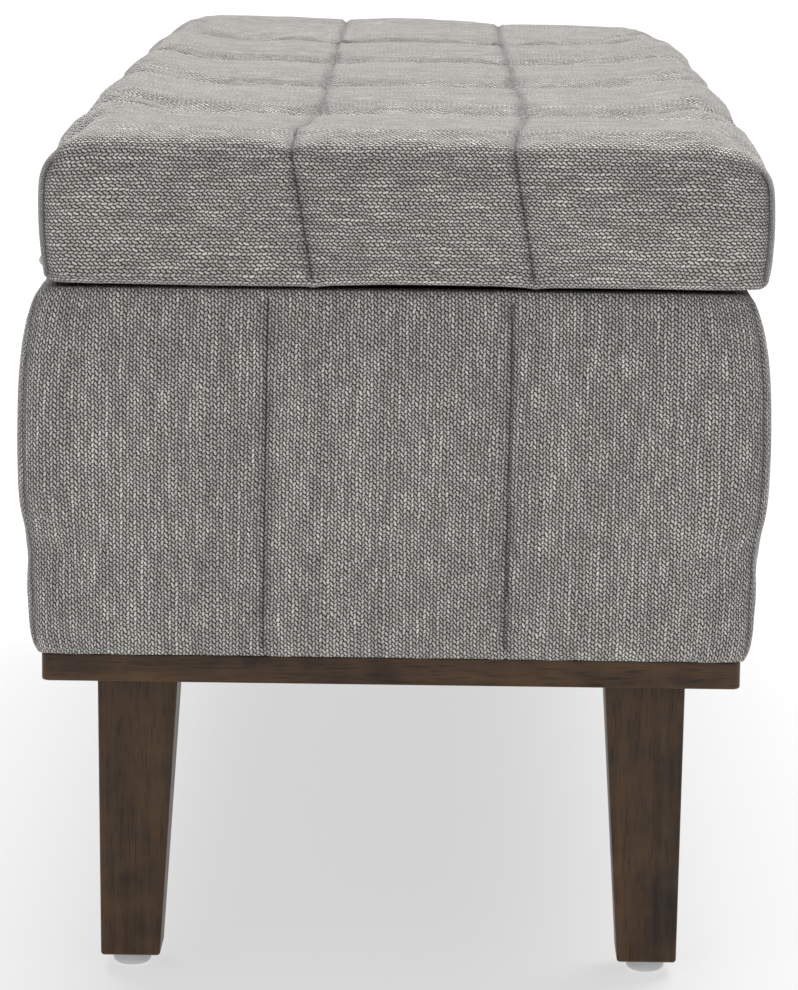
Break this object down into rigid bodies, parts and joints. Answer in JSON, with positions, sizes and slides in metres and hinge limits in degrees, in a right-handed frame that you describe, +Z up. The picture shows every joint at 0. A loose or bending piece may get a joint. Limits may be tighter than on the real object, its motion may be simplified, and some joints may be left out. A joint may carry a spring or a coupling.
{
  "type": "storage bench",
  "caption": "Upholstered storage bench with a tufted, hinged lid on folding stays, a padded box and a wooden base with tapered legs.",
  "frame": {"origin": "on the floor, at the middle of the bench's footprint", "axes": "+Z up; +Y along the length, towards the right-hand end; +X towards the front, where the lid opens"},
  "size_m": [0.4165, 1.118, 0.4835],
  "materials": {
    "upholstery_fabric": "slubbed linen-look basket weave, warm grey",
    "lining_fabric": "black non-woven lining",
    "foam": "open-cell cushion foam",
    "plywood": "plain sanded plywood",
    "walnut_wood": "walnut stain, satin lacquer",
    "glide_plastic": "translucent white, moulded",
    "zinc_steel": "bright zinc plate",
    "hinge_steel": "nickel plate",
    "stay_steel": "zinc plate",
    "twine": "waxed tufting twine",
    "washer_plastic": "moulded nylon",
    "rubber": "soft rubber"
  },
  "bodies": {
    "box": {"front_panel": "plywood", "back_panel": "plywood", "left_end_panel": "plywood", "right_end_panel": "plywood", "bottom_panel": "plywood", "corner_blocks": "plywood", "box_cover": "upholstery_fabric", "front_padding": "foam", "back_padding": "foam", "left_end_padding": "foam", "right_end_padding": "foam", "wall_lining": "lining_fabric", "floor_lining": "lining_fabric", "bottom_dust_cover": "lining_fabric", "left_end_rail": "walnut_wood", "right_end_rail": "walnut_wood", "front_rail": "walnut_wood", "back_rail": "walnut_wood", "leg_front_left": "walnut_wood", "leg_front_right": "walnut_wood", "leg_back_left": "walnut_wood", "leg_back_right": "walnut_wood", "glide_front_left": "glide_plastic", "glide_front_right": "glide_plastic", "glide_back_left": "glide_plastic", "glide_back_right": "glide_plastic", "glide_nails": "zinc_steel", "leg_bolts": "zinc_steel", "tee_nuts": "zinc_steel", "panel_screws": "zinc_steel", "rail_screws": "zinc_steel", "hinge_box_screws": "zinc_steel", "stay_box_screws": "zinc_steel", "hinge_left_box_leaf": "hinge_steel", "hinge_left_pin": "hinge_steel", "hinge_middle_box_leaf": "hinge_steel", "hinge_middle_pin": "hinge_steel", "hinge_right_box_leaf": "hinge_steel", "hinge_right_pin": "hinge_steel", "stay_left_box_bracket": "stay_steel", "stay_right_box_bracket": "stay_steel"},
    "lid": {"lid_board": "plywood", "lid_foam": "foam", "lid_cover": "upholstery_fabric", "lid_dust_cover": "lining_fabric", "tuft_twines": "twine", "tuft_washers": "washer_plastic", "lid_bumpers": "rubber", "hinge_lid_screws": "zinc_steel", "stay_lid_screws": "zinc_steel", "hinge_left_lid_leaf": "hinge_steel", "hinge_middle_lid_leaf": "hinge_steel", "hinge_right_lid_leaf": "hinge_steel", "stay_left_lid_bracket": "stay_steel", "stay_right_lid_bracket": "stay_steel"},
    "stay_left_lower_arm": {"stay_left_lower_arm": "stay_steel"},
    "stay_left_upper_arm": {"stay_left_upper_arm": "stay_steel"},
    "stay_right_lower_arm": {"stay_right_lower_arm": "stay_steel"},
    "stay_right_upper_arm": {"stay_right_upper_arm": "stay_steel"}
  },
  "joints": [
    {"name": "lid_hinge", "type": "hinge", "parent": "box", "child": "lid", "pos_m": [-0.20475, 0, 0.40035], "axis": [0, -1, 0], "range_deg": [0, 90]},
    {"name": "stay_left_lower_pivot", "type": "hinge", "parent": "box", "child": "stay_left_lower_arm", "pos_m": [-0.16475, -0.5286, 0.29788], "axis": [0, -1, 0], "range_deg": [0, 90]},
    {"name": "stay_left_elbow", "type": "hinge", "parent": "stay_left_lower_arm", "child": "stay_left_upper_arm", "pos_m": [-0.05539, -0.5263, 0.28603], "axis": [0, -1, 0], "range_deg": [-90, 0]},
    {"name": "stay_right_lower_pivot", "type": "hinge", "parent": "box", "child": "stay_right_lower_arm", "pos_m": [-0.16475, 0.5286, 0.29788], "axis": [0, -1, 0], "range_deg": [0, 90]},
    {"name": "stay_right_elbow", "type": "hinge", "parent": "stay_right_lower_arm", "child": "stay_right_upper_arm", "pos_m": [-0.05539, 0.5263, 0.28603], "axis": [0, -1, 0], "range_deg": [-90, 0]}
  ],
  "couplings": [
    {"joint": "stay_left_lower_pivot", "follows": "lid_hinge", "ratio": 1},
    {"joint": "stay_left_elbow", "follows": "lid_hinge", "ratio": -1},
    {"joint": "stay_right_lower_pivot", "follows": "lid_hinge", "ratio": 1},
    {"joint": "stay_right_elbow", "follows": "lid_hinge", "ratio": -1}
  ]
}
